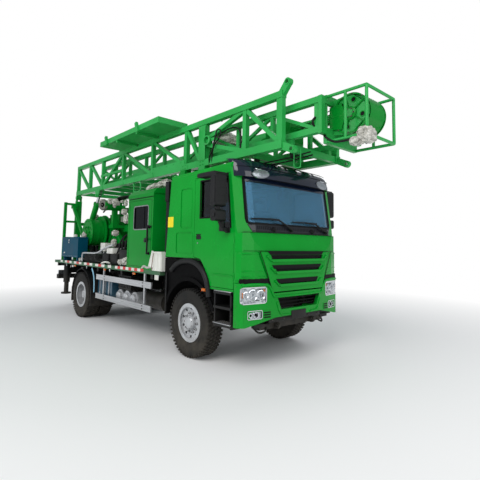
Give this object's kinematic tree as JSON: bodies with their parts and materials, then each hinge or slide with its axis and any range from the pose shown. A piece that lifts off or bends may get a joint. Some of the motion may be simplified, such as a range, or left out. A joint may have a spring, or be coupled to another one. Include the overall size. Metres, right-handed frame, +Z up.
{
  "type": "truck-mounted workover rig",
  "caption": "Truck-mounted workover rig: cab truck with a two-section lattice mast lying over the cab, drawworks, operator's cabin and folding work platform.",
  "frame": {"origin": "middle of the footprint box, at ground level under the tyres", "axes": "+X to the front of the truck, +Y to its left, +Z up"},
  "size_m": [9.32, 2.9, 4.2346],
  "materials": {
    "cab_green": "gloss enamel",
    "rig_green": "gloss enamel",
    "mast_green": "gloss enamel",
    "deck_green": "worn enamel",
    "teal": "gloss enamel",
    "tank_blue": "gloss enamel",
    "white": "satin enamel",
    "visor": "gloss",
    "black_frame": "satin",
    "black_plastic": "grained",
    "engine_grey": "satin",
    "silver": "satin",
    "wheel_silver": "satin",
    "rod_chrome": "polished",
    "rubber": "matt",
    "glass": "clear",
    "lamp": "clear",
    "seat": "matt"
  },
  "bodies": {
    "chassis": {"frame": "black_frame", "front_axle": "black_frame", "rear_axle": "black_frame", "springs": "black_frame", "engine": "engine_grey", "cab_shell": "cab_green", "grille": "cab_green", "bumper": "cab_green", "lamps": "lamp", "cab_glass": "glass", "sun_visor": "visor", "front_guards": "black_plastic", "steps": "black_plastic", "cab_interior": "seat", "deck": "deck_green", "booth": "rig_green", "booth_interior": "seat", "locker": "white", "intake": "black_plastic", "air_tanks": "silver", "fuel_tank": "tank_blue", "side_boxes": "black_frame", "side_guards": "silver", "rear_guards": "black_plastic", "mast_stand": "rig_green", "mast_rest": "rig_green", "drum": "rig_green", "chain_case": "rig_green", "power_box": "rig_green", "deck_engine": "engine_grey", "tool_box": "teal"},
    "door_r": {"door_r": "cab_green", "door_glass_r": "glass", "mirror_r": "black_plastic"},
    "door_l": {"door_l": "cab_green", "door_glass_l": "glass", "mirror_l": "black_plastic"},
    "booth_door": {"booth_door": "rig_green", "booth_glass": "glass"},
    "knuckle_r": {"knuckle_r": "black_frame"},
    "knuckle_l": {"knuckle_l": "black_frame"},
    "front_wheel_r": {"front_tyre_r": "rubber", "front_rim_r": "wheel_silver"},
    "front_wheel_l": {"front_tyre_l": "rubber", "front_rim_l": "wheel_silver"},
    "rear_wheel_r": {"rear_tyres_r": "rubber", "rear_rim_r": "wheel_silver"},
    "rear_wheel_l": {"rear_tyres_l": "rubber", "rear_rim_l": "wheel_silver"},
    "mast": {"mast_right": "mast_green", "mast_left": "mast_green", "mast_floor": "mast_green"},
    "mast_upper": {"mast_upper": "mast_green", "crown": "mast_green", "block": "black_frame"},
    "platform": {"platform": "mast_green"},
    "barrels": {"barrels": "rig_green"},
    "rods": {"rods": "rod_chrome"},
    "jack_r": {"jack_r": "black_frame"},
    "jack_l": {"jack_l": "black_frame"}
  },
  "joints": [
    {"name": "steer_right", "type": "hinge", "parent": "chassis", "child": "knuckle_r", "pos_m": [1.94, -0.856, 0.542], "axis": [0, 0, 1], "range_deg": [-38, 38]},
    {"name": "steer_left", "type": "hinge", "parent": "chassis", "child": "knuckle_l", "pos_m": [1.94, 0.856, 0.542], "axis": [0, 0, 1], "range_deg": [-38, 38]},
    {"name": "front_wheel_right_spin", "type": "hinge", "parent": "knuckle_r", "child": "front_wheel_r", "pos_m": [1.94, -1.042, 0.542], "axis": [0, 1, 0], "continuous": true},
    {"name": "front_wheel_left_spin", "type": "hinge", "parent": "knuckle_l", "child": "front_wheel_l", "pos_m": [1.94, 1.042, 0.542], "axis": [0, 1, 0], "continuous": true},
    {"name": "rear_wheel_right_spin", "type": "hinge", "parent": "chassis", "child": "rear_wheel_r", "pos_m": [-2.55, -1.097, 0.542], "axis": [0, 1, 0], "continuous": true},
    {"name": "rear_wheel_left_spin", "type": "hinge", "parent": "chassis", "child": "rear_wheel_l", "pos_m": [-2.55, 1.097, 0.542], "axis": [0, 1, 0], "continuous": true},
    {"name": "mast_raise", "type": "hinge", "parent": "chassis", "child": "mast", "pos_m": [-4.51, 0, 3.12], "axis": [0, -1, 0], "range_deg": [0, 90]},
    {"name": "mast_extend", "type": "slide", "parent": "mast", "child": "mast_upper", "axis": [1, 0, 0], "range_m": [0, 5.6]},
    {"name": "platform_fold", "type": "hinge", "parent": "mast", "child": "platform", "pos_m": [-1.78, -0.69, 4.11], "axis": [0, -1, 0], "range_deg": [0, 90]},
    {"name": "cylinder_tilt", "type": "hinge", "parent": "chassis", "child": "barrels", "pos_m": [-4.06, 0, 1.47], "axis": [0, -1, 0], "range_deg": [0, 40.55]},
    {"name": "cylinder_stroke", "type": "slide", "parent": "barrels", "child": "rods", "axis": [0.5511, 0, 0.8345], "range_m": [0, 1.2691]},
    {"name": "cab_door_right", "type": "hinge", "parent": "chassis", "child": "door_r", "pos_m": [3.015, -1.18, 2], "axis": [0, 0, 1], "range_deg": [0, 70]},
    {"name": "cab_door_left", "type": "hinge", "parent": "chassis", "child": "door_l", "pos_m": [3.015, 1.18, 2], "axis": [0, 0, -1], "range_deg": [0, 70]},
    {"name": "booth_door_swing", "type": "hinge", "parent": "chassis", "child": "booth_door", "pos_m": [-0.11, -1.239, 2], "axis": [0, 0, -1], "range_deg": [0, 100]},
    {"name": "jack_right_drop", "type": "slide", "parent": "chassis", "child": "jack_r", "axis": [0, 0, -1], "range_m": [0, 0.378]},
    {"name": "jack_left_drop", "type": "slide", "parent": "chassis", "child": "jack_l", "axis": [0, 0, -1], "range_m": [0, 0.378]}
  ],
  "couplings": [
    {"joint": "steer_left", "follows": "steer_right", "ratio": 1},
    {"joint": "cylinder_tilt", "follows": "mast_raise", "ratio": 0.44997},
    {"joint": "cylinder_stroke", "follows": "mast_raise", "m_per_rad": 0.80764}
  ]
}
